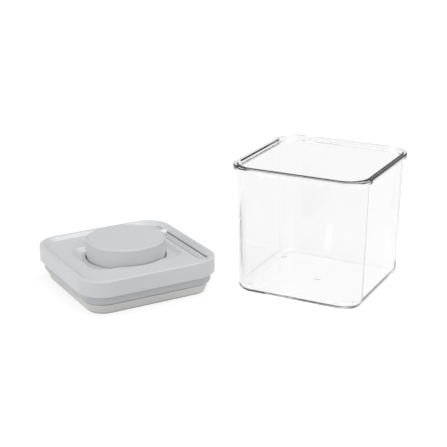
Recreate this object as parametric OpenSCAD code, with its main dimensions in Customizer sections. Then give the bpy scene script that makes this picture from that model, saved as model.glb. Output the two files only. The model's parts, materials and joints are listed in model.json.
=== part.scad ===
// Square storage jar with a vacuum lid lying beside it. The lid's knob turns back and
// forth, and a pin in two helical slots turns that into the stroke of a pump piston.
// Jar frame: origin on the floor under the jar's centre, X and Y along its sides, Z up.
// Lid frame: the same, with X towards the date strip, placed by in_lid().

/* [Jar] */
// Outer side of the jar's square rim
rim_side = 130; // [116:1:150]
// Corner radius of the rim, outside
rim_corner_r = 21.8; // [20:0.1:26]
// Height of the jar
jar_h = 120; // [70:1:200]
// Height of the rim bead
rim_h = 5; // [4:0.1:8]
// How far the rim bead stands out from the wall
rim_out = 3; // [2:0.1:3.6]
// Thickness of the jar's walls
jar_wall_t = 2.4; // [2:0.1:3.2]
// Draft of the jar's walls, in degrees
draft = 1.2; // [0.5:0.05:1.5]
// Thickness of the jar's floor
floor_t = 3; // [2.4:0.1:5]
// Outer radius between wall and floor
heel_r = 6; // [4:0.5:8]
// Height of the feet under the floor
foot_h = 0.8; // [0.4:0.1:1.5]
// How much rounder the mouth's corners are than an even wall would make them
mouth_round = 1.2; // [0:0.1:2]

/* [Lid layout] */
// Gap between the lid and the jar's rim, along X
lid_gap = 8.45; // [2:0.05:60]
// How far the lid's centre lies in front of the jar's centre
lid_forward = 86.7; // [0:0.1:120]
// Turn of the lid about Z, in degrees
lid_yaw = 56.9; // [0:0.1:90]

/* [Lid cover] */
// How far the lid's edge stands out past the jar's rim
lid_overhang = 1.75; // [0.5:0.05:3]
// Corner radius of the lid, outside
lid_corner_r = 24.8; // [22:0.1:26]
// Height of the lid's rim above the floor it lies on
lid_h = 34; // [33:0.1:40]
// Height of the cover's side wall
cover_wall_h = 15.3; // [14:0.1:15.6]
// Thickness of the cover's side wall
cover_wall_t = 3.6; // [3:0.1:4]
// Depth of the panel below the rim
recess = 3; // [2:0.1:3.4]
// Thickness of the panel
panel_t = 2.2; // [1.8:0.1:2.6]
// Width of the rim at the panel, where its inner slope ends
edge_w = 7.85; // [7.2:0.05:8.2]
// Width of the rim's top, out to its outer face
edge_top_w = 3; // [2.5:0.1:3.4]
// Radius of the rim's outer top edge
rim_edge_r = 1.3; // [0.6:0.1:1.6]
// Depth of the finger scoops below the panel
scoop_depth = 3; // [1:0.1:3.4]
// Panel left between the finger scoops and the date strip
scoop_land = 2.8; // [1:0.1:6]
// How far the finger scoops' long edges lie inside the knob's hole
scoop_in = 4.5; // [3:0.1:10]
// Width of the scoops' sloping sides
scoop_slope = 6.5; // [3:0.5:8]

/* [Date strip] */
// Width of the date strip
strip_w = 6.6; // [6:0.1:7.6]
// Length of the date strip
strip_l = 98; // [80:0.5:99]
// Thickness of the date strip
strip_t = 1.6; // [0.8:0.1:1.8]
// Gap between the date strip and the panel
strip_gap = 0.9; // [0.2:0.05:1]
// Width of the slot beside the strip
slot_w = 1.9; // [1.7:0.05:2.2]
// How far before the strip's rear end the slot stops
slot_stop = 11; // [0:0.5:18]
// Length of the slider's grip along the strip
slider_l = 6.6; // [5:0.1:12]
// Height of the slider's grip
slider_h = 3.1; // [2:0.1:3.4]
// Where the slider's grip stands at rest, from the strip's rear end
slider_from_end = 21.3; // [20:0.1:60]

/* [Knob] */
// Radius of the knob
knob_r = 36.4; // [35.6:0.1:37.2]
// Height of the knob's top above the floor
knob_top = 45.3; // [45:0.1:50]
// Gap between the knob and the hole in the cover
knob_gap = 1.1; // [0.6:0.05:1.5]
// Thickness of the knob's wall
knob_wall_t = 2.2; // [1.6:0.1:2.6]
// Thickness of the knob's inner web
knob_web_t = 3; // [2.8:0.1:4]
// Radius of the knob's top edge
knob_edge_r = 1; // [0.6:0.1:1.1]
// Width of the knob's lip round the cap disc
cap_inset = 1.5; // [1.4:0.1:4]
// Depth of the cap disc
cap_t = 2; // [1.6:0.1:2.4]

/* [Pump] */
// Room from the pump's bore to the knob's side
pump_room = 14.4; // [14.2:0.1:18]
// Wall thickness of the pump barrel
barrel_t = 2.2; // [1.8:0.1:2.4]
// Lift of the piston over the knob's whole turn
stroke = 10; // [6:0.5:10]
// Turn of the knob that gives that lift, in degrees
knob_turn = 90; // [80:1:95]
// Height of the cross pin's axis at the bottom of the stroke
pin_z = 25; // [24.6:0.1:25.2]
// Radius of the cross pin
pin_r = 1.5; // [1.2:0.1:1.6]
// Radius of the rollers on the cross pin
roller_r = 2.6; // [2.2:0.1:2.8]

/* [Plug and seal] */
// Depth of the plug below the skirt
plug_depth = 10.7; // [9:0.1:11.5]
// How far the seal's lip stands out past the jar's mouth
seal_squeeze = 1.6; // [0.6:0.1:1.8]
// How far the seal's lower edge stays inside the jar's mouth
seal_lead = 1.8; // [1:0.1:2.4]
// Thickness of the plug's walls and floor
plug_t = 2; // [1.6:0.1:2.4]
// Depth of the recess under the plug's floor
under_h = 3; // [2.6:0.1:3.4]

/* [Hidden] */
$fn = 96;
eps = 0.01;

clear_plastic = [0.93, 0.95, 0.96, 0.35];
grey_plastic = [0.80, 0.81, 0.82];
white_plastic = [0.95, 0.95, 0.95];
silicone = [0.69, 0.69, 0.67];
steel = [0.72, 0.73, 0.74];

// Clearances
fit = 0.3;          // between parts that are put together
run = 0.08;         // radial, between a round part and its bore
travel_gap = 0.4;   // between parts that move past each other

// Jar
jar_c = rim_side / 2 - rim_corner_r;              // centre of each corner's arcs
rim_x = rim_corner_r;                             // sizes along x from that centre
wall_top_x = rim_x - rim_out;
wall_low_x = wall_top_x - (jar_h - rim_h) * tan(draft);
mouth_lead = 1.3;
mouth_half = rim_side / 2 - rim_out - jar_wall_t;
rim_edge = 1.2;
mouth_r = wall_top_x - jar_wall_t + mouth_round;
mouth_c = mouth_half - mouth_r;                   // centre of the mouth's corner arcs
foot_r = 2.8;
foot_x = jar_c + wall_low_x - heel_r - 1.6;
foot_y = jar_c - 4;
gate_r = 3;

// Lid cover
lid_half = rim_side / 2 + lid_overhang;
lid_c = lid_half - lid_corner_r;
cover_z = lid_h - cover_wall_h;                   // lower edge of the side wall
cover_in = lid_half - cover_wall_t;               // inner face of the side wall
panel_z = lid_h - recess;                         // top of the panel
panel_low = panel_z - panel_t;
edge_x0 = lid_corner_r - edge_w;                  // foot of the slope, from the corner's centre
inner_edge_r = 1;
inner_edge_x = lid_corner_r - edge_top_w;
edge_dx = inner_edge_x - edge_x0;
edge_dz = recess - inner_edge_r;
edge_a = atan2(edge_dz, edge_dx) + asin(inner_edge_r / norm([edge_dx, edge_dz]));
slab_lap = 0.5;                                   // of the panel under the slope
lid_reach = lid_c * (cos(lid_yaw) + sin(lid_yaw)) + lid_corner_r;
lid_x = -(rim_side / 2 + lid_gap + lid_reach);

// Hole, collar and scoops
hole_r = knob_r + knob_gap;
collar_t = 2;
hole_edge_r = 0.8;

// Date strip and slider
slot_x1 = lid_half - edge_w;
slot_x0 = slot_x1 - slot_w;
strip_edge_gap = 0.2;                             // between the strip and the slot
strip_x1 = slot_x0 - strip_edge_gap;
strip_x0 = strip_x1 - strip_w;
pocket_x0 = strip_x0 - strip_gap;
pocket_l = strip_l + 2 * strip_gap;
strip_sink = 0.1;                                 // of the strip below the panel
pocket_z = panel_z - strip_t - strip_sink;
ledge_t = 2.2;
ledge_side = 1.5;
ledge_low = pocket_z - ledge_t;
strip_corner_r = 0.9;
slot_past = 1.3;                                  // of the slot past the strip's front end
slot_y0 = -strip_l / 2 - slot_past;
slot_y1 = strip_l / 2 - slot_stop;
slider_y = strip_l / 2 - slider_from_end;
slider_z = panel_z + 0.15;
grip_x0 = pocket_x0 - 0.5;
grip_x1 = slot_x0 - 1.6;
grip_corner_r = 1.4;
grip_edge_r = 0.8;
foot_t = 0.9;                                     // thickness of the slider's foot
leg_t = slot_w - 2 * fit;
leg_l = 4.5;
hook_reach = 3;
hook_t = 1.6;
leg_x0 = slot_x0 + fit;
hook_top = ledge_low - travel_gap;

// Finger scoops
scoop_floor_r = 7;
scoop_top_r = scoop_floor_r + scoop_slope;
scoop_half_x = pocket_x0 - scoop_land;
scoop_half_y = hole_r - scoop_in;
scoop_cx = scoop_half_x - scoop_top_r;
scoop_cy = scoop_half_y - scoop_top_r;

// Plug, from the floor that the lid lies on
floor_z = under_h + plug_t;                       // top of the plug's floor
skirt_half = cover_in - fit;
skirt_t = 1.8;
skirt_top = cover_z + 5.3;
plug_half = mouth_half - seal_lead - 1.9;         // the wall that the seal sits on
seal_lip = mouth_half + seal_squeeze;
seal_low = mouth_half - seal_lead;
seal_z0 = 1.4;
seal_gap = 1;                                     // under the step, above the seal's lip
seal_z1 = plug_depth - seal_gap;
snap_y = 26;
snap_w = 8;
snap_out = 0.9;
snap_z = skirt_top + 0.3;
snap_h = 1.4;

// Pump
bore_r = knob_r - pump_room;
barrel_r = bore_r + barrel_t;
foot_flange_r = knob_r - 3.4;
foot_flange_t = 2.4;
gasket_r0 = barrel_r + 0.3;
gasket_r1 = gasket_r0 + 3;
gasket_t = 1.2;
screw_r = 1.25;
screw_head_r = 2.6;
screw_head_h = 1.8;
barrel_screw_r = foot_flange_r - screw_head_r - 0.4;
screw_boss_r = 3.2;
pilot_end = 1.4;                                  // bottom of the screws' pilot holes
cap_r = knob_r - cap_inset;
cap_gap = 0.1;
cap_edge_r = 0.2;
web_low = knob_top - cap_t - knob_web_t;          // underside of the knob's web
cap_z = knob_top - cap_t;
barrel_top = web_low - travel_gap;
crown_z = floor_z + 2.4;                          // underside of the piston
crown_t = 4.2;
trunk_top = web_low - stroke - 0.9;
trunk_t = 2.2;
seal_groove_z = crown_z + 1;
seal_groove_h = 2.4;
seal_groove_d = 2.5;
valve_r = 8;
valve_cap_t = 1.4;
valve_stem_r = 1.6;
valve_port_r = 1.2;
valve_port_at = 5;
slot_clear = 0.45;

// Cam sleeve: room round a roller, measured along Z in the slanted slot
sleeve_r0 = barrel_r + travel_gap;
sleeve_t = 3;
sleeve_r1 = sleeve_r0 + sleeve_t;
cam_pitch = stroke / knob_turn;                   // lift for one degree of turn
cam_slope = atan(stroke / (sleeve_r0 * knob_turn * PI / 180));
cam_open = 2 * (roller_r + slot_clear) / cos(cam_slope);
cam_side = asin((roller_r + slot_clear) / sleeve_r0);
sleeve_flange_r = knob_r - knob_wall_t - 1.1;
sleeve_flange_t = 3.5;
knob_screw_r = sleeve_flange_r - 2.6;
pin_end = sleeve_r1 - 0.3;

// What the knob turns on
washer_t = 0.8;
knob_flange_r = knob_r + 2.4;
knob_flange_t = 2;
knob_low = floor_z + 9.4;
rib_r0 = knob_r - 1.9;
rib_r1 = knob_flange_r - 0.4;
rib_top = knob_low - 0.3 - washer_t;
collar_low = knob_low + knob_flange_t + travel_gap;

// Ribs on the plug's floor, and the guard under the inlet valve
rib_at = 18;
rib_t = 1.6;
rib_h = 4.5;
rib_start = sqrt(pow(rib_r1, 2) - pow(rib_at, 2)) - 1.5;
filter_r = valve_r + 3.8;
filter_z = 0.9;
filter_t = 0.9;
filter_hole_r = 0.9;
filter_pitch = 3;
filter_collar_r0 = filter_r + 0.2;
filter_collar_r1 = filter_collar_r0 + 1.4;

// Release plug, behind the knob
release_y = plug_half - plug_t - 4.6;
release_r = 3.6;
release_head_r = 6.4;
release_port_r = 1.8;
release_tube_t = 1.6;
release_well = 1.8;
release_pad_r = 8.8;
release_dome = 0.5;

// A run of points along an arc, from angle a0 to angle a1
function arc(cx, cy, r, a0, a1, n = 6) = [
    for (i = [0:n]) let (a = a0 + (a1 - a0) * i / n) [cx + r * cos(a), cy + r * sin(a)]
];

// A smooth step from 0 to 1 for t from 0 to 1
function ease(t) = (1 - cos(180 * t)) / 2;

// The child profile run round a rectangle with round corners. The corners' centres lie at
// +-cx, +-cy, the profile's x is the distance outwards from them and its y is the height.
module sweep(cx, cy) {
    for (i = [0:3]) {
        sx = (i == 0 || i == 3) ? 1 : -1;
        sy = (i < 2) ? 1 : -1;
        translate([sx * cx, sy * cy, 0]) rotate(90 * i) rotate_extrude(angle = 90) children();
    }
    for (a = [0, 180]) {
        rotate(a) translate([cx, cy, 0]) rotate([90, 0, 0]) linear_extrude(2 * cy) children();
        rotate(a + 90) translate([cy, cx, 0]) rotate([90, 0, 0]) linear_extrude(2 * cx) children();
    }
}

// A slab between z0 and z1 whose edge follows the child profile, from x = 0 outwards
module sweep_slab(cx, cy, z0, z1) {
    sweep(cx, cy) children();
    translate([-cx, -cy, z0]) cube([2 * cx, 2 * cy, z1 - z0]);
}

// A rectangle with round corners, centred
module round_rect(half_x, half_y, r) {
    square([2 * half_x, 2 * (half_y - r)], center = true);
    square([2 * (half_x - r), 2 * half_y], center = true);
    for (x = [-1, 1], y = [-1, 1]) translate([x * (half_x - r), y * (half_y - r)]) circle(r);
}

module in_lid() {
    translate([lid_x, -lid_forward, 0]) rotate(lid_yaw) children();
}

module tube(r0, r1, z0, z1) {
    translate([0, 0, z0]) difference() {
        cylinder(r = r1, h = z1 - z0);
        translate([0, 0, -eps]) cylinder(r = r0, h = z1 - z0 + 2 * eps);
    }
}

module post(r, z0, z1) {
    translate([0, 0, z0]) cylinder(r = r, h = z1 - z0);
}

// Copies on a circle of radius r, the first at angle a
module ring_of(n, r, a = 0) {
    for (i = [0:n - 1]) rotate(a + i * 360 / n) translate([r, 0, 0]) children();
}

// Section through the jar's outside, from its corner's centre outwards
module jar_profile() {
    wall_x = wall_low_x + (foot_h + heel_r) * tan(draft);
    polygon(concat(
        [[0, foot_h]],
        arc(wall_x - heel_r, foot_h + heel_r, heel_r, -90, -draft, 8),
        [[wall_top_x, jar_h - rim_h - 0.8]],
        [[wall_top_x + 0.8, jar_h - rim_h]],
        arc(rim_x - rim_edge, jar_h - rim_h + rim_edge, rim_edge, -90, 0, 4),
        arc(rim_x - rim_edge, jar_h - rim_edge, rim_edge, 0, 90, 4),
        [[0, jar_h]]
    ));
}

// Section through the room inside the jar, from the mouth's corner's centre outwards
module room_profile() {
    floor_top = foot_h + floor_t;
    inner_r = heel_r - 1.5;
    low_x = jar_c + wall_low_x - jar_wall_t - mouth_c;
    polygon(concat(
        [[0, floor_top]],
        arc(low_x - inner_r, floor_top + inner_r, inner_r, -90, -draft, 8),
        [[mouth_r, jar_h - 2.5 * mouth_lead], [mouth_r + mouth_lead, jar_h]],
        [[mouth_r + mouth_lead, jar_h + 1], [0, jar_h + 1]]
    ));
}

module jar() {
    color(clear_plastic) {
        difference() {
            sweep_slab(jar_c, jar_c, foot_h, jar_h) jar_profile();
            sweep_slab(mouth_c, mouth_c, foot_h + floor_t, jar_h + 1) room_profile();
        }
        // feet, and the gate pad in the middle of the underside
        for (x = [-foot_x, foot_x], y = [-foot_y, foot_y])
            translate([x, y, 0]) post(foot_r, 0, foot_h + 0.5);
        post(gate_r, 0, foot_h + eps);
    }
}

// Section through the cover's side wall and the slope from its top to the panel
module cover_wall_profile() {
    in_x = lid_corner_r - cover_wall_t;
    polygon(concat(
        [[in_x, cover_z], [lid_corner_r - 0.6, cover_z], [lid_corner_r, cover_z + 0.6]],
        arc(lid_corner_r - rim_edge_r, lid_h - rim_edge_r, rim_edge_r, 0, 90, 6),
        arc(inner_edge_x, lid_h - inner_edge_r, inner_edge_r, 90, 90 + edge_a, 3),
        [[edge_x0, panel_z], [edge_x0, panel_low], [edge_x0 + slab_lap, panel_low],
            [in_x, panel_low + (in_x - edge_x0 - slab_lap) * tan(edge_a)]]
    ));
}

// Edge of the scoops, from their flat floor up to the panel
module scoop_profile(top) {
    steps = 10;
    polygon(concat(
        [[0, panel_z - scoop_depth]],
        [for (i = [0:steps]) [scoop_floor_r + scoop_slope * i / steps,
            panel_z - scoop_depth + scoop_depth * ease(i / steps)]],
        [[scoop_top_r, top], [0, top]]
    ));
}

// Section through the scoops' raised underside
module scoop_under_profile() {
    steps = 10;
    polygon(concat(
        [[0, panel_low - scoop_depth]],
        [for (i = [0:steps]) [scoop_floor_r + scoop_slope * i / steps,
            panel_low - scoop_depth + scoop_depth * ease(i / steps)]],
        [[scoop_top_r, panel_low + 1], [0, panel_low + 1]]
    ));
}

module snap_places() {
    for (a = [0:90:270], y = [-snap_y, snap_y]) rotate(a) translate([0, y, 0]) children();
}

module lid_cover() {
    color(grey_plastic) in_lid() difference() {
        union() {
            sweep(lid_c, lid_c) cover_wall_profile();
            translate([0, 0, panel_low]) linear_extrude(panel_t)
                round_rect(lid_half - edge_w + slab_lap, lid_half - edge_w + slab_lap,
                    edge_x0 + slab_lap);
            sweep_slab(scoop_cx, scoop_cy, panel_low - scoop_depth, panel_low + 1)
                scoop_under_profile();
            post(hole_r + collar_t, collar_low, panel_z - eps);
            translate([pocket_x0 - ledge_side, -pocket_l / 2 - ledge_side, ledge_low])
                cube([slot_x0 - pocket_x0 + ledge_side, pocket_l + 2 * ledge_side,
                    panel_z - ledge_low - 1]);
            translate([0, release_y, 0]) post(release_pad_r, panel_low - 2.2, panel_low + eps);
        }
        sweep_slab(scoop_cx, scoop_cy, panel_z - scoop_depth, lid_h) scoop_profile(lid_h);
        post(hole_r, collar_low - 1, lid_h);
        rotate_extrude() polygon(concat(
            [[hole_r - 1, panel_z + 1], [hole_r - 1, panel_z - hole_edge_r]],
            arc(hole_r + hole_edge_r, panel_z - hole_edge_r, hole_edge_r, 180, 90, 4),
            [[hole_r + hole_edge_r, panel_z + 1]]
        ));
        translate([0, 0, pocket_z]) linear_extrude(recess + strip_t)
            pocket_outline(pocket_x0, slot_x0 + 1, pocket_l, strip_corner_r + strip_gap);
        translate([slot_x0, slot_y0, ledge_low - 1])
            cube([slot_w, slot_y1 - slot_y0, lid_h - ledge_low]);
        translate([0, release_y, 0]) {
            post(release_r + fit, panel_low - 5, lid_h);
            post(release_head_r + 0.9, panel_z - release_well, lid_h);
        }
        snap_places() translate([cover_in - 1, -snap_w / 2 - fit, snap_z - fit])
            cube([1 + snap_out + fit, snap_w + 2 * fit, snap_h + 2 * fit]);
    }
}

// Outline of the date strip or its pocket, round at the end corners away from the slot
module pocket_outline(x0, x1, l, r) {
    translate([x0 + r, -l / 2]) square([x1 - x0 - r, l]);
    translate([x0, -l / 2 + r]) square([r + eps, l - 2 * r]);
    for (y = [-1, 1]) translate([x0 + r, y * (l / 2 - r)]) circle(r);
}

module date_strip() {
    color(grey_plastic) in_lid() translate([0, 0, pocket_z]) linear_extrude(strip_t)
        pocket_outline(strip_x0, strip_x1, strip_l, strip_corner_r);
}

module date_slider() {
    grip_top = slider_z + slider_h;
    foot_x0 = grip_x0 + 2;
    foot_x1 = leg_x0 + leg_t;
    step_x = grip_x1 - 1;
    back_y = slider_l / 2;                        // from here on the foot reaches the slot
    color(white_plastic) in_lid() translate([0, slider_y, 0]) {
        // grip with round corners and top edges
        translate([(grip_x0 + grip_x1) / 2, 0, 0])
            sweep_slab((grip_x1 - grip_x0) / 2 - grip_corner_r, slider_l / 2 - grip_corner_r,
                slider_z, grip_top)
            polygon(concat([[0, slider_z], [grip_corner_r, slider_z]],
                arc(grip_corner_r - grip_edge_r, grip_top - grip_edge_r, grip_edge_r, 0, 90, 4),
                [[0, grip_top]]));
        // foot that reaches back past the grip and over to the slot
        translate([0, 0, slider_z]) linear_extrude(foot_t)
            polygon([[foot_x0, 0], [step_x, 0], [step_x, back_y], [foot_x1, back_y],
                [foot_x1, back_y + leg_l], [foot_x0, back_y + leg_l]]);
        // leg through the slot, and its hook under the ledge
        translate([leg_x0, back_y + leg_l, 0]) rotate([90, 0, 0]) linear_extrude(leg_l)
            polygon([[0, slider_z + foot_t / 2], [0, hook_top], [-hook_reach, hook_top],
                [-hook_reach + 1, hook_top - hook_t], [leg_t, hook_top - hook_t],
                [leg_t, slider_z + foot_t / 2]]);
    }
}

// Section through the skirt, the step and the plug's wall, from the corner's centre outwards
module base_profile() {
    out_x = skirt_half - lid_c;
    plug_x = plug_half - lid_c;
    step_t = plug_t;
    bead_x = seal_low - 0.6 - lid_c;
    polygon(concat(
        [[plug_x - plug_t, 0.4], [plug_x - plug_t + 0.4, 0]],
        arc(bead_x - 0.8, 0.8, 0.8, -90, 0, 4),
        [[bead_x, seal_z0], [plug_x, seal_z0], [plug_x, plug_depth]],
        arc(out_x - 0.8, plug_depth + 0.8, 0.8, -90, 0, 4),
        [[out_x, skirt_top], [out_x - skirt_t, skirt_top]],
        [[out_x - skirt_t, plug_depth + step_t], [plug_x - plug_t, plug_depth + step_t]]
    ));
}

module lid_base() {
    plug_in = plug_half - plug_t;
    color(grey_plastic) in_lid() difference() {
        union() {
            sweep(lid_c, lid_c) base_profile();
            translate([0, 0, under_h]) linear_extrude(plug_t)
                round_rect(plug_in + 0.5, plug_in + 0.5, plug_in + 0.5 - lid_c);
            tube(rib_r0, rib_r1, floor_z - eps, rib_top);
            // stiffening ribs between the knob's bearing ring and the plug's wall
            for (a = [0:90:270], b = [-rib_at, rib_at]) rotate(a)
                translate([rib_start, b - rib_t / 2, floor_z - eps])
                cube([plug_in - rib_start + 0.5, rib_t, rib_h]);
            // bosses under the floor for the barrel's screws
            ring_of(4, barrel_screw_r, 45) post(screw_boss_r, pilot_end - 0.6, under_h + eps);
            // collar that holds the filter
            tube(filter_collar_r0, filter_collar_r1, filter_z - 0.1, under_h + eps);
            translate([0, release_y, 0])
                post(release_r + fit + release_tube_t, floor_z - eps, panel_low - 2.5);
            // catches that snap into the cover's wall
            snap_places() {
                translate([skirt_half - skirt_t, -snap_w / 2, skirt_top - eps])
                    cube([skirt_t, snap_w, snap_z + snap_h - skirt_top]);
                translate([skirt_half - eps, snap_w / 2, 0]) rotate([90, 0, 0])
                    linear_extrude(snap_w) polygon([[0, snap_z], [snap_out, snap_z],
                        [snap_out, snap_z + 0.4], [0, snap_z + snap_h]]);
            }
        }
        ring_of(4, barrel_screw_r, 45) post(screw_r, pilot_end, floor_z + 1);
        tube(gasket_r0, gasket_r1, floor_z - gasket_t, floor_z + 1);
        post(valve_stem_r + run, 0, floor_z + 1);
        ring_of(6, valve_port_at) post(valve_port_r, 0, floor_z + 1);
        translate([0, release_y, 0]) {
            post(release_r + fit, floor_z, panel_low);
            post(release_port_r, 0, floor_z + 1);
        }
    }
}

// Section through the seal: a lip at the top edge, then a wedge that leads into the mouth
module seal_profile() {
    lip_x = seal_lip - lid_c;
    low_x = seal_low - lid_c;
    back_x = plug_half - lid_c;
    polygon(concat(
        [[back_x, seal_z0]],
        arc(low_x - 0.7, seal_z0 + 0.9, 0.9, -90, -10, 4),
        [[lip_x - 1, seal_z1 - 2.4]],
        arc(lip_x - 0.6, seal_z1 - 0.6, 0.6, -40, 90, 5),
        [[lip_x - 2.2, seal_z1], [lip_x - 2.6, seal_z1 - 1], [lip_x - 3, seal_z1]],
        [[back_x, seal_z1]]
    ));
}

module lid_seal() {
    color(silicone) in_lid() sweep(lid_c, lid_c) seal_profile();
}

module knob() {
    color(grey_plastic) in_lid() difference() {
        rotate_extrude($fn = 180) polygon(concat(
            [[knob_r - knob_wall_t, knob_low], [knob_flange_r, knob_low]],
            [[knob_flange_r, knob_low + knob_flange_t], [knob_r, knob_low + knob_flange_t]],
            arc(knob_r - knob_edge_r, knob_top - knob_edge_r, knob_edge_r, 0, 90, 6),
            arc(cap_r + cap_gap + cap_edge_r, knob_top - cap_edge_r, cap_edge_r, 90, 180, 3),
            [[cap_r + cap_gap, cap_z], [0, cap_z], [0, web_low]],
            [[knob_r - knob_wall_t - 1, web_low], [knob_r - knob_wall_t, web_low - 1]]
        ));
        post(4, web_low - 1, cap_z + 1);
        ring_of(3, knob_screw_r, 30) {
            post(screw_r + 0.15, web_low - 1, cap_z + 1);
            post(screw_head_r + 0.2, cap_z - screw_head_h, cap_z + 1);
        }
    }
}

module knob_cap() {
    color(grey_plastic) in_lid() rotate_extrude($fn = 180) polygon(concat(
        [[0, web_low + 0.5], [3.5, web_low + 0.5], [4 - run, web_low + 1], [4 - run, cap_z]],
        [[cap_r, cap_z]],
        arc(cap_r - cap_edge_r, knob_top - cap_edge_r, cap_edge_r, 0, 90, 3),
        [[0, knob_top]]
    ));
}

// A pan-head screw standing on z = 0, with its shank pointing down
module pan_screw(shank) {
    difference() {
        union() {
            post(screw_head_r, 0, screw_head_h - 0.2);
            post(screw_r - 0.05, -shank, eps);
        }
        for (a = [0, 90]) rotate(a) translate([-1.6, -0.35, screw_head_h - 1]) cube([3.2, 0.7, 2]);
    }
}

module knob_screws() {
    color(steel) in_lid() ring_of(3, knob_screw_r, 30)
        translate([0, 0, cap_z - screw_head_h]) pan_screw(knob_web_t - screw_head_h + 3);
}

module barrel_screws() {
    color(steel) in_lid() ring_of(4, barrel_screw_r, 45)
        translate([0, 0, floor_z + foot_flange_t])
        pan_screw(floor_z + foot_flange_t - pilot_end - 0.6);
}

// A helical slot cut through the sleeve for one roller, which stands at angle 0 when the
// knob is at rest and climbs by the stroke as the knob turns
module cam_slot() {
    z0 = pin_z - cam_open / 2;
    h = stroke + cam_open;
    width = cam_open / cam_pitch;
    cut_r = sleeve_r1 + 0.8;
    intersection() {
        translate([0, 0, z0]) linear_extrude(h, twist = h / cam_pitch, slices = 48, $fn = 12)
            polygon(concat([[0, 0]], arc(0, 0, cut_r + 1, 0, width, 8)));
        translate([0, 0, z0 - 1]) linear_extrude(h + 2)
            polygon(concat([[0, 0]], arc(0, 0, cut_r, -knob_turn - cam_side, cam_side, 24)));
    }
}

module cam_sleeve() {
    color(white_plastic) in_lid() difference() {
        union() {
            tube(sleeve_r0, sleeve_r1, knob_low, web_low);
            tube(sleeve_r1 - 1, sleeve_flange_r, web_low - sleeve_flange_t, web_low);
        }
        for (a = [0, 180]) rotate(a) cam_slot();
        ring_of(3, knob_screw_r, 30) post(screw_r, web_low - 3.2, web_low + 1);
    }
}

module knob_washer() {
    color(white_plastic) in_lid() tube(rib_r0 + 0.1, rib_r1 - 0.1, rib_top, rib_top + washer_t);
}

module pump_barrel() {
    slot_half = pin_r + fit;
    slot_z0 = pin_z - slot_half;
    slot_z1 = pin_z + stroke + slot_half;
    color(white_plastic) in_lid() difference() {
        union() {
            post(barrel_r, floor_z, barrel_top);
            post(foot_flange_r, floor_z, floor_z + foot_flange_t);
        }
        post(bore_r, floor_z - 1, barrel_top + 1);
        // upright slots that keep the cross pin from turning
        for (x = [-1, 1]) translate([x * barrel_r - 3, -slot_half, slot_z0])
            cube([6, 2 * slot_half, slot_z1 - slot_z0]);
        ring_of(4, barrel_screw_r, 45) post(screw_r + 0.15, floor_z - 1, floor_z + 4);
    }
}

module barrel_gasket() {
    color(silicone) in_lid() tube(gasket_r0 + 0.1, gasket_r1 - 0.1, floor_z - gasket_t, floor_z);
}

module piston() {
    r = bore_r - run;
    color(white_plastic) in_lid() difference() {
        union() {
            rotate_extrude() polygon([
                [0, crown_z + 1.4], [10, crown_z + 1.4], [11, crown_z], [r - 0.4, crown_z],
                [r, crown_z + 0.4], [r, seal_groove_z], [r - seal_groove_d, seal_groove_z],
                [r - seal_groove_d, seal_groove_z + seal_groove_h],
                [r, seal_groove_z + seal_groove_h], [r, trunk_top], [r - trunk_t, trunk_top],
                [r - trunk_t, crown_z + crown_t + 1.5], [r - trunk_t - 1.5, crown_z + crown_t],
                [0, crown_z + crown_t]
            ]);
            // bosses that carry the cross pin
            for (a = [0, 180]) rotate(a) translate([r - 6, 0, pin_z]) rotate([0, 90, 0])
                cylinder(r = pin_r + 1.8, h = 5);
        }
        translate([-bore_r - 1, 0, pin_z]) rotate([0, 90, 0])
            cylinder(r = pin_r + 0.04, h = 2 * bore_r + 2);
        post(valve_stem_r + run, crown_z - 1, crown_z + crown_t + 1);
        ring_of(6, valve_port_at) post(valve_port_r, crown_z - 1, crown_z + crown_t + 1);
    }
}

// Cup seal in the piston's groove, its open side down towards the jar
module piston_seal() {
    r0 = bore_r - run - seal_groove_d + 0.05;
    r1 = bore_r - 0.04;
    z0 = seal_groove_z + 0.1;
    z1 = seal_groove_z + seal_groove_h - 0.1;
    mid = (r0 + r1) / 2;
    color(silicone) in_lid() rotate_extrude() polygon([
        [r0, z0], [mid - 0.5, z0], [mid, z0 + 1.1], [mid + 0.5, z0], [r1, z0], [r1, z1],
        [r0, z1]
    ]);
}

module cross_pin() {
    color(steel) in_lid() translate([-pin_end, 0, pin_z]) rotate([0, 90, 0])
        cylinder(r = pin_r, h = 2 * pin_end);
}

module cam_rollers() {
    color(white_plastic) in_lid() for (a = [0, 180]) rotate(a)
        translate([sleeve_r0 + 0.2, 0, pin_z]) rotate([0, 90, 0]) difference() {
            cylinder(r = roller_r, h = sleeve_t - 0.5);
            translate([0, 0, -1]) cylinder(r = pin_r + 0.04, h = sleeve_t + 2);
        }
}

// Umbrella valve: a thin cap over the ports, and a stem with a bulb that holds it in
module umbrella_valve(seat, plate) {
    rotate_extrude() polygon([
        [0, seat - plate - 0.7], [1.2, seat - plate - 0.7], [2.3, seat - plate - 0.1],
        [2.3, seat - plate], [valve_stem_r, seat - plate], [valve_stem_r, seat],
        [valve_r, seat], [valve_r, seat + 0.5], [2.5, seat + valve_cap_t], [0, seat + valve_cap_t]
    ]);
}

module outlet_valve() {
    color(silicone) in_lid() umbrella_valve(crown_z + crown_t, crown_t - 1.4);
}

module inlet_valve() {
    color(silicone) in_lid() umbrella_valve(floor_z, plug_t);
}

module inlet_filter() {
    color(white_plastic) in_lid() difference() {
        post(filter_r, filter_z, filter_z + filter_t);
        for (n = [1:3]) ring_of(6 * n, filter_pitch * n, 15 * n)
            post(filter_hole_r, filter_z - 1, filter_z + filter_t + 1);
        post(filter_hole_r, filter_z - 1, filter_z + filter_t + 1);
    }
}

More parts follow.
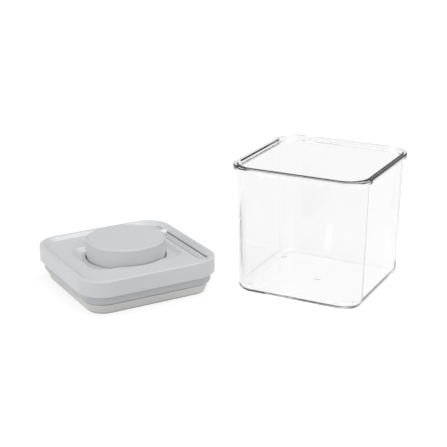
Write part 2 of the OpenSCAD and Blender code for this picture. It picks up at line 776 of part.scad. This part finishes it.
module release_plug() {
    head_z = panel_z - release_well;
    color(silicone) in_lid() translate([0, release_y, 0]) rotate_extrude() polygon(concat(
        [[0, floor_z + 0.02], [release_r - 1, floor_z + 0.02], [release_r, floor_z + 1]],
        [[release_r, head_z + 0.02], [release_head_r, head_z + 0.02]],
        arc(release_head_r - 0.8, head_z + 1.4, 0.8, 0, 70, 4),
        [[2.5, head_z + 2.2 + release_dome], [0, head_z + 2.2 + release_dome]]
    ));
}

jar();
lid_cover();
lid_base();
lid_seal();
date_strip();
date_slider();
knob();
knob_cap();
knob_screws();
cam_sleeve();
knob_washer();
pump_barrel();
barrel_gasket();
barrel_screws();
piston();
piston_seal();
cross_pin();
cam_rollers();
outlet_valve();
inlet_valve();
inlet_filter();
release_plug();
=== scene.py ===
import json
import math

import bmesh
import bpy
from mathutils import Matrix, Vector


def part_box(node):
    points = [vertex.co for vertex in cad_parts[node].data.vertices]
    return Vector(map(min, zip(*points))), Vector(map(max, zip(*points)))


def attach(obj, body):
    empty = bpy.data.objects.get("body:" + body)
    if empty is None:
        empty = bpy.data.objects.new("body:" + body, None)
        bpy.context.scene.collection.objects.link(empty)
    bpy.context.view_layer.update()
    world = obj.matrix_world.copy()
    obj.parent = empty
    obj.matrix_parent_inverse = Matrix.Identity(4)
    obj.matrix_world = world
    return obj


MM = 0.001

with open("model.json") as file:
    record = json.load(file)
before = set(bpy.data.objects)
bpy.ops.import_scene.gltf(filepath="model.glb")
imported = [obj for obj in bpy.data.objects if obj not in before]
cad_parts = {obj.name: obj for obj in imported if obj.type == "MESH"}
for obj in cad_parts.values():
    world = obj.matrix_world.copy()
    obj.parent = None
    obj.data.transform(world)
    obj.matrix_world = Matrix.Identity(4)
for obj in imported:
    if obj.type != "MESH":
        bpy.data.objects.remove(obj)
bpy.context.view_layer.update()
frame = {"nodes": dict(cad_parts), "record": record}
nodes = frame["nodes"]
scene = bpy.context.scene


# Colours
def srgb(r, g, b):
    """A colour written in 0-255 display values, as linear values."""
    def linear(v):
        v /= 255
        return v / 12.92 if v <= 0.04045 else ((v + 0.055) / 1.055) ** 2.4
    return (linear(r), linear(g), linear(b), 1.0)


def neutral(v):
    """A grey without a tint, from its linear value."""
    return (v, v, v, 1.0)


LID_GREY = srgb(206, 207, 209)
STRIP_GREY = srgb(200, 201, 203)
INK_GREY = srgb(132, 134, 138)
POINTER_WHITE = srgb(243, 243, 243)
INNER_WHITE = srgb(236, 236, 234)
SEAL_GREY = srgb(223, 223, 220)
# the plug is the lid's own grey, darkened here as painted shade for the shadow under the cover
PLUG_SHADE_PAINTED_GREY = srgb(190, 191, 194)
STEEL_GREY = srgb(190, 191, 193)
JAR_CLEAR = neutral(0.988)
JAR_SHADOW = neutral(0.935)     # what the jar lets through of the lamps' light


# Shader nodes. A noise's scale is in waves per metre.
NOISE_LOW = 0.3                 # nearly all of a noise lies between these two
NOISE_HIGH = 0.7


def empty_tree(block):
    """The node tree of a new material or world, emptied."""
    block.use_nodes = True
    block.node_tree.nodes.clear()
    return block.node_tree


def add(tree, kind, values=None):
    """A new shader node with these values set on its inputs."""
    node = tree.nodes.new("ShaderNode" + kind)
    for name, value in (values or {}).items():
        node.inputs[name].default_value = value
    return node


def noise(tree, scale, detail=3.0):
    """A noise in the object's own space."""
    coord = add(tree, "TexCoord")
    texture = add(tree, "TexNoise", {"Scale": scale, "Detail": detail})
    tree.links.new(coord.outputs["Object"], texture.inputs["Vector"])
    return texture.outputs["Fac"]


def spread(tree, fac, low, high):
    """Maps a noise onto a range of numbers."""
    spans = {"From Min": NOISE_LOW, "From Max": NOISE_HIGH, "To Min": low, "To Max": high}
    ranged = add(tree, "MapRange", spans)
    tree.links.new(fac, ranged.inputs["Value"])
    return ranged.outputs["Result"]


def tint(tree, fac, colour, amount):
    """The colour, varied by a noise by plus or minus the amount."""
    ramp = add(tree, "ValToRGB")
    stops = ((NOISE_LOW, 1 - amount), (NOISE_HIGH, 1 + amount))
    for element, (place, k) in zip(ramp.color_ramp.elements, stops):
        element.position = place
        element.color = (*[min(1.0, c * k) for c in colour[:3]], 1)
    tree.links.new(fac, ramp.inputs["Fac"])
    return ramp.outputs["Color"]


def bump(tree, height, distance, strength):
    raised = add(tree, "Bump", {"Distance": distance, "Strength": strength})
    tree.links.new(height, raised.inputs["Height"])
    return raised.outputs["Normal"]


# Materials
PLASTIC_IOR = 1.5
SILICONE_IOR = 1.42


def new_material(name, values):
    """A material with these values on its shader."""
    material = bpy.data.materials.new(name)
    tree = empty_tree(material)
    out = add(tree, "OutputMaterial")
    shader = add(tree, "BsdfPrincipled", values)
    tree.links.new(shader.outputs["BSDF"], out.inputs["Surface"])
    return material, tree, shader, out


def vary_rough(tree, shader, low, high, scale):
    tree.links.new(spread(tree, noise(tree, scale), low, high), shader.inputs["Roughness"])


def vary_colour(tree, shader, colour, amount, scale):
    tree.links.new(tint(tree, noise(tree, scale), colour, amount), shader.inputs["Base Color"])


def add_grain(tree, shader, distance, strength, scale, detail):
    raised = bump(tree, noise(tree, scale, detail), distance, strength)
    tree.links.new(raised, shader.inputs["Normal"])


def plastic(name, colour, rough, grain, depth, gloss=0.5):
    """Moulded plastic: fine spark-eroded grain, faint flow variation."""
    values = {"IOR": PLASTIC_IOR, "Specular IOR Level": gloss}
    material, tree, shader, _ = new_material(name, values)
    vary_colour(tree, shader, colour, amount=0.012, scale=18.0)
    vary_rough(tree, shader, low=rough - 0.04, high=rough + 0.04, scale=60.0)
    add_grain(tree, shader, distance=depth, strength=0.6, scale=grain, detail=2.0)
    return material


def clear_plastic(name):
    """Polished clear polymer with a trace of haze and flow marks. It lets most of the lamps'
    light through."""
    values = {"Base Color": JAR_CLEAR, "Transmission Weight": 1.0, "IOR": PLASTIC_IOR}
    material, tree, shader, out = new_material(name, values)
    vary_rough(tree, shader, low=0.0, high=0.03, scale=40.0)
    add_grain(tree, shader, distance=0.00004, strength=0.5, scale=9.0, detail=1.0)
    path = add(tree, "LightPath")
    through = add(tree, "BsdfTransparent", {"Color": JAR_SHADOW})
    mix = add(tree, "MixShader")
    tree.links.new(path.outputs["Is Shadow Ray"], mix.inputs[0])
    tree.links.new(shader.outputs["BSDF"], mix.inputs[1])
    tree.links.new(through.outputs["BSDF"], mix.inputs[2])
    tree.links.new(mix.outputs[0], out.inputs["Surface"])
    return material


def silicone(name, colour):
    """Soft matt rubber."""
    values = {"IOR": SILICONE_IOR, "Sheen Weight": 0.15, "Sheen Roughness": 0.5}
    material, tree, shader, _ = new_material(name, values)
    vary_colour(tree, shader, colour, amount=0.02, scale=30.0)
    vary_rough(tree, shader, low=0.5, high=0.62, scale=90.0)
    add_grain(tree, shader, distance=0.00002, strength=0.5, scale=900.0, detail=2.0)
    return material


def steel(name, colour):
    """Plain bright steel."""
    material, tree, shader, _ = new_material(name, {"Metallic": 1.0})
    vary_colour(tree, shader, colour, amount=0.05, scale=200.0)
    vary_rough(tree, shader, low=0.22, high=0.34, scale=400.0)
    return material


grey = plastic("lid_grey", LID_GREY, rough=0.34, grain=1400.0, depth=0.00002, gloss=0.8)
# Painted shade: the plug gets the lid's plastic in a darker grey, for the shadow under the cover.
plug = plastic("plug_shade_painted_grey", PLUG_SHADE_PAINTED_GREY, rough=0.34, grain=1400.0, depth=0.00002)
strip = plastic("strip_grey", STRIP_GREY, rough=0.36, grain=1400.0, depth=0.00001)
ink = plastic("number_grey", INK_GREY, rough=0.5, grain=1400.0, depth=0.00001)
pointer = plastic("pointer_white", POINTER_WHITE, rough=0.28, grain=1800.0, depth=0.00001)
inner = plastic("inner_white", INNER_WHITE, rough=0.4, grain=1200.0, depth=0.00001)
seal = silicone("seal_silicone", SEAL_GREY)
metal = steel("steel", STEEL_GREY)
clear = clear_plastic("jar_clear")

DRESS = {
    "jar": clear,
    "lid_cover": grey, "knob": grey, "knob_cap": grey,
    "lid_base": plug,
    "lid_seal": seal, "piston_seal": seal, "barrel_gasket": seal,
    "outlet_valve": seal, "inlet_valve": seal, "release_plug": seal,
    "date_strip": strip,
    "date_slider": pointer,
    "cam_sleeve": inner, "knob_washer": inner, "pump_barrel": inner, "piston": inner,
    "cam_rollers": inner, "inlet_filter": inner,
    "knob_screws": metal, "barrel_screws": metal, "cross_pin": metal,
}
for node, material in DRESS.items():
    data = nodes[node].data
    if not data.materials:
        data.materials.append(material)
    for i in range(len(data.materials)):
        data.materials[i] = material


# Numbers and ticks on the date strip
DAYS = 31
DAY_PITCH = 2.95 * MM
NUMBER_SIZE = 2.75 * MM
NUMBERS_IN = 2.9 * MM           # the numbers' middle, in from the strip's inner edge
TICKS_IN = 0.25 * MM            # the ticks' ends, in from the strip's outer edge
TICK_SHORT = 0.8 * MM
TICK_LONG = 1.3 * MM
TICK_WIDE = 0.22 * MM
LONG_EVERY = 5
MARK_RAISED = 0.03 * MM         # thickness of a mark, half of it above the strip


def joint(name):
    return next(j for j in frame["record"]["behaviour"]["joints"] if j["name"] == name)


def lid_frame():
    """The lid's own frame: on the floor under the knob, with Y the way that the pointer slides."""
    knob_at = joint("knob_twist")["pos_m"]
    slide = joint("date_slide")["axis"]
    yaw = math.atan2(-slide[0], slide[1])
    return Matrix.Translation((knob_at[0], knob_at[1], 0)) @ Matrix.Rotation(yaw, 4, "Z")


def day_numbers():
    """The days as one raised mesh, in a column along Y, with the last day at the top."""
    words = bpy.data.curves.new("day_numbers", "FONT")
    words.body = "\n".join(str(day) for day in range(DAYS, 0, -1))
    words.size = NUMBER_SIZE
    words.space_line = DAY_PITCH / NUMBER_SIZE
    words.align_x = "CENTER"
    words.align_y = "CENTER"
    words.extrude = MARK_RAISED / 2
    words.resolution_u = 3
    holder = bpy.data.objects.new("day_numbers_text", words)
    scene.collection.objects.link(holder)
    shaped = holder.evaluated_get(bpy.context.evaluated_depsgraph_get())
    mesh = bpy.data.meshes.new_from_object(shaped)
    bpy.data.objects.remove(holder)
    return mesh


def add_ticks(mesh, end_x, z):
    """A tick for each day, from end_x inwards, with every fifth one long."""
    bm = bmesh.new()
    bm.from_mesh(mesh)
    for i in range(DAYS):
        y = (i - (DAYS - 1) / 2) * DAY_PITCH
        length = TICK_LONG if (i + 1) % LONG_EVERY == 0 else TICK_SHORT
        place = Matrix.Translation((end_x - length / 2, y, z))
        sizes = Matrix.Diagonal((length, TICK_WIDE, MARK_RAISED, 1))
        bmesh.ops.create_cube(bm, size=1.0, matrix=place @ sizes)
    bm.to_mesh(mesh)
    bm.free()


lid = lid_frame()
to_lid = lid.inverted() @ nodes["date_strip"].matrix_world
strip_across = [(to_lid @ v.co).x for v in nodes["date_strip"].data.vertices]
strip_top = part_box("date_strip")[1][2]

marks = day_numbers()
marks.transform(Matrix.Translation((min(strip_across) + NUMBERS_IN, 0, strip_top)))
add_ticks(marks, max(strip_across) - TICKS_IN, strip_top)
marks.transform(lid)
marks.materials.clear()
marks.materials.append(ink)
numbers = bpy.data.objects.new("day_numbers", marks)
scene.collection.objects.link(numbers)
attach(numbers, "base")


# Camera
CAMERA_AT = Vector((376.6, -927.8, 402.0)) * MM
CAMERA_TURN = math.radians(27.172)      # about Z, from looking along +Y
CAMERA_TILT = math.radians(19.110)      # below the horizon
CAMERA_ROLL = math.radians(-0.055)
SENSOR = 36.0
FRAME_PX = 447
FOCAL_PX = 1146.4

cam_data = bpy.data.cameras.new("camera")
cam_data.sensor_width = SENSOR
cam_data.lens = SENSOR * FOCAL_PX / FRAME_PX
cam_data.clip_start = 0.01
cam_data.clip_end = 50
cam = bpy.data.objects.new("camera", cam_data)
scene.collection.objects.link(cam)
cam.matrix_world = (
    Matrix.Translation(CAMERA_AT)
    @ Matrix.Rotation(CAMERA_TURN, 4, "Z")
    @ Matrix.Rotation(math.pi / 2 - CAMERA_TILT, 4, "X")
    @ Matrix.Rotation(CAMERA_ROLL, 4, "Z")
)
scene.camera = cam


# Floor
FLOOR_HALF = 12.0
FLOOR_DROP = 0.1 * MM           # below the feet
FLOOR_LIT = neutral(0.55)       # what the floor gives back to matt surfaces
FLOOR_SHOWN = neutral(0.36)     # what is seen of it, with its shadows
FLOOR_GLOW = 0.72               # added to that, and makes it white
FLOOR_GLOW_THROUGH = 0.58       # the same, seen through the jar


def floor_surface():
    """White with the object's shadows where it is seen, and a plain grey to what it lights."""
    material = bpy.data.materials.new("floor_white")
    tree = empty_tree(material)
    out = add(tree, "OutputMaterial")
    lit = add(tree, "BsdfDiffuse", {"Color": FLOOR_LIT})
    shown = add(tree, "BsdfDiffuse", {"Color": FLOOR_SHOWN})
    glow = add(tree, "Emission", {"Color": neutral(1)})
    path = add(tree, "LightPath")
    strength = add(tree, "MapRange", {"To Min": FLOOR_GLOW, "To Max": FLOOR_GLOW_THROUGH})
    both = add(tree, "AddShader")
    pick = add(tree, "MixShader")
    tree.links.new(path.outputs["Is Transmission Ray"], strength.inputs["Value"])
    tree.links.new(strength.outputs["Result"], glow.inputs["Strength"])
    tree.links.new(shown.outputs[0], both.inputs[0])
    tree.links.new(glow.outputs[0], both.inputs[1])
    tree.links.new(path.outputs["Is Diffuse Ray"], pick.inputs[0])
    tree.links.new(both.outputs[0], pick.inputs[1])
    tree.links.new(lit.outputs[0], pick.inputs[2])
    tree.links.new(pick.outputs[0], out.inputs["Surface"])
    return material


corners = [(x * FLOOR_HALF, y * FLOOR_HALF, 0) for x, y in ((-1, -1), (1, -1), (1, 1), (-1, 1))]
floor_mesh = bpy.data.meshes.new("floor")
floor_mesh.from_pydata(corners, [], [(0, 1, 2, 3)])
floor_mesh.materials.append(floor_surface())
floor = bpy.data.objects.new("floor", floor_mesh)
floor.location.z = -FLOOR_DROP
scene.collection.objects.link(floor)


# World: white where it is seen. It lights dimly from the sides and brightly from overhead.
SKY_LOW = 0.46                  # strength round the sides
SKY_HIGH = 1.45                 # strength overhead
SKY_FROM = math.sin(math.radians(55))   # the height where it starts to brighten
SKY_FULL = math.sin(math.radians(68))   # the height where it is brightest


def white_world():
    world = bpy.data.worlds.new("world")
    tree = empty_tree(world)
    out = add(tree, "OutputWorld")
    back = add(tree, "Background", {"Color": neutral(1)})
    path = add(tree, "LightPath")
    seen = add(tree, "Math")
    seen.operation = "MAXIMUM"
    strength = add(tree, "MapRange", {"To Max": 1.0})
    coord = add(tree, "TexCoord")
    axes = add(tree, "SeparateXYZ")
    spans = {"From Min": SKY_FROM, "From Max": SKY_FULL, "To Min": SKY_LOW, "To Max": SKY_HIGH}
    sky = add(tree, "MapRange", spans)
    sky.interpolation_type = "SMOOTHSTEP"
    tree.links.new(coord.outputs["Generated"], axes.inputs[0])
    tree.links.new(axes.outputs["Z"], sky.inputs["Value"])
    tree.links.new(sky.outputs["Result"], strength.inputs["To Min"])
    tree.links.new(path.outputs["Is Camera Ray"], seen.inputs[0])
    tree.links.new(path.outputs["Is Transmission Ray"], seen.inputs[1])
    tree.links.new(seen.outputs[0], strength.inputs["Value"])
    tree.links.new(strength.outputs["Result"], back.inputs["Strength"])
    tree.links.new(back.outputs[0], out.inputs["Surface"])
    return world


scene.world = white_world()


# Lamps
def softbox(name, towards, wide, strength):
    """A lamp far off in that direction, wide degrees across. A matt surface that faces it
    gives back its colour times the strength."""
    light = bpy.data.lights.new(name, "SUN")
    light.energy = strength * math.pi
    light.angle = math.radians(wide)
    lamp = bpy.data.objects.new(name, light)
    scene.collection.objects.link(lamp)
    lamp.rotation_mode = "QUATERNION"
    lamp.rotation_quaternion = Vector(towards).to_track_quat("Z", "Y")


softbox("left", (-0.665, -0.717, 0.208), wide=40, strength=0.29)
softbox("right", (0.644, -0.415, 0.643), wide=60, strength=0.24)
softbox("top", (0.065, 0.418, 0.906), wide=14, strength=0.14)


# Colour and light paths. The jar's edges need many reflections before they are clear.
scene.view_settings.view_transform = "Standard"
scene.cycles.max_bounces = 24
scene.cycles.glossy_bounces = 10
scene.cycles.transmission_bounces = 24
scene.cycles.transparent_max_bounces = 24
